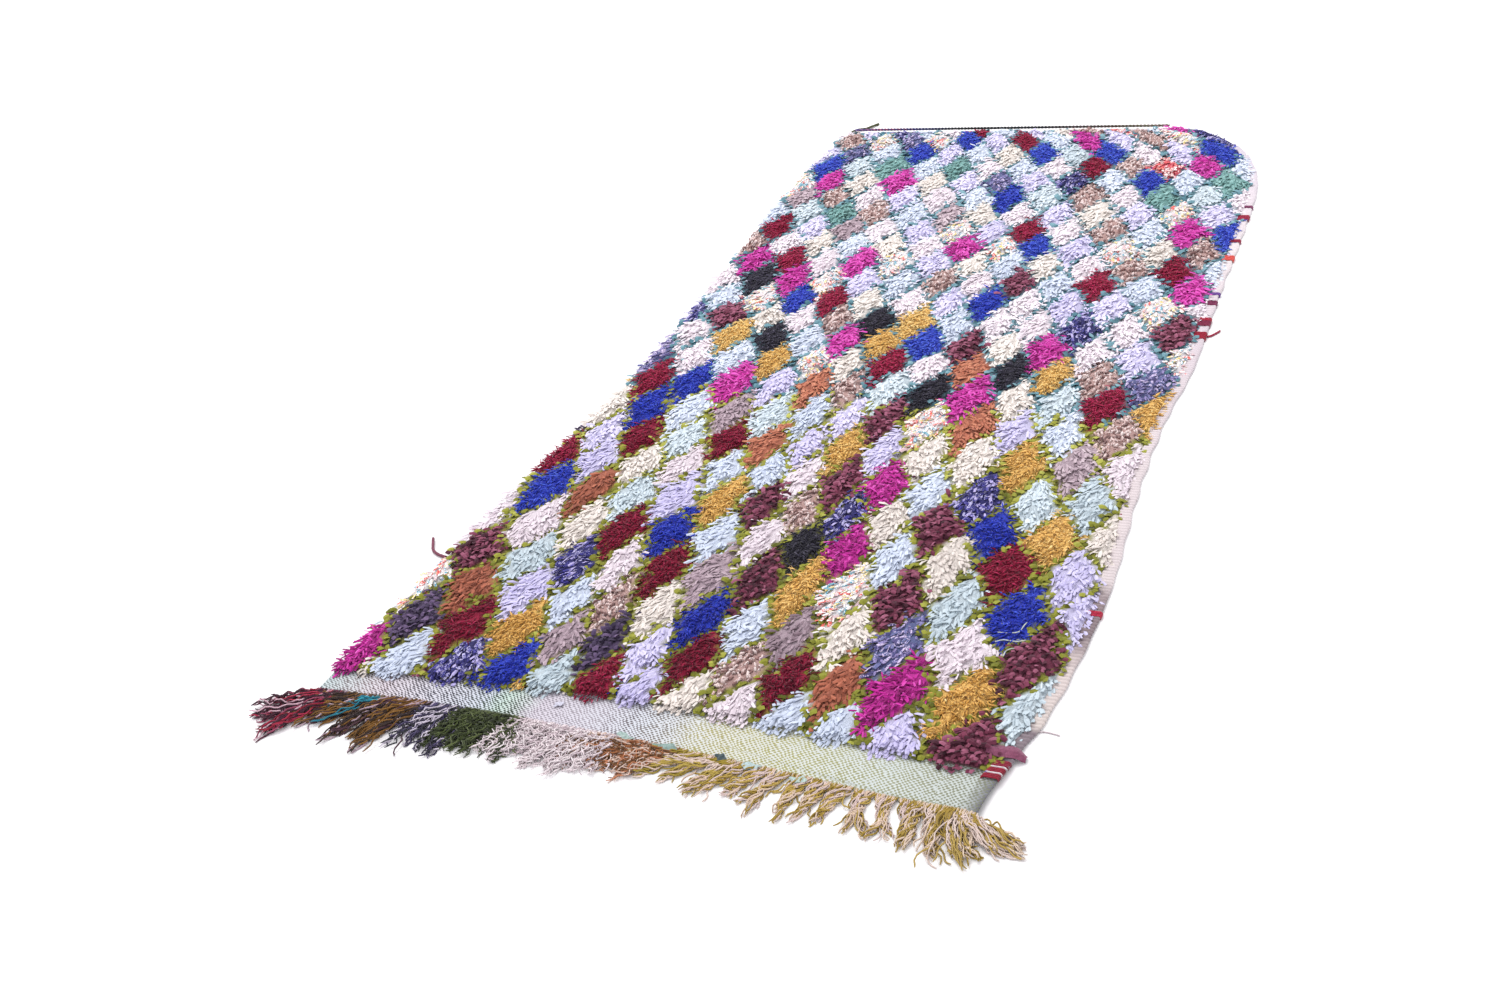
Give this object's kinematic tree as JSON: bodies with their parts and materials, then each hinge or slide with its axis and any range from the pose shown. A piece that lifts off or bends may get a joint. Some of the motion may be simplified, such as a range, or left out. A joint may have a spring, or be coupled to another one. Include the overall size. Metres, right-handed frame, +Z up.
{
  "type": "boucherouite rug",
  "caption": "Long shaggy rag-pile rug laid flat, with a checkered lozenge lattice, a flat-woven end band with a loose fringe, a corded side edge and one rounded corner",
  "frame": {"origin": "On the floor, under the middle of the woven cloth: the centre of the rug's flat underside, leaving out the fringe.", "axes": "+Z up. +Y along the rug, from the fringed end to the far end with the cord. +X across it, from the plain left edge to the corded right edge."},
  "size_m": [1.4591, 2.9299, 0.0253],
  "materials": {
    "rag_pile": "matte shaggy rag and yarn pile, many colours",
    "warp_ends": "matte loose yarn ends, brown, olive and beige",
    "edge_cord": "matte dark twined yarn",
    "corner_tail": "matte dark olive rag",
    "left_rag_tail": "matte plum rag",
    "right_yarn_tail": "matte crimson yarn",
    "right_thread": "matte grey-pink thread",
    "corner_rag": "matte plum rag strip"
  },
  "bodies": {
    "root": {"rug": "rag_pile", "fringe": "warp_ends", "far_edge_cord": "edge_cord", "corner_tail": "corner_tail", "left_rag_tail": "left_rag_tail", "right_yarn_tail": "right_yarn_tail", "right_thread": "right_thread", "corner_rag": "corner_rag"}
  },
  "joints": []
}
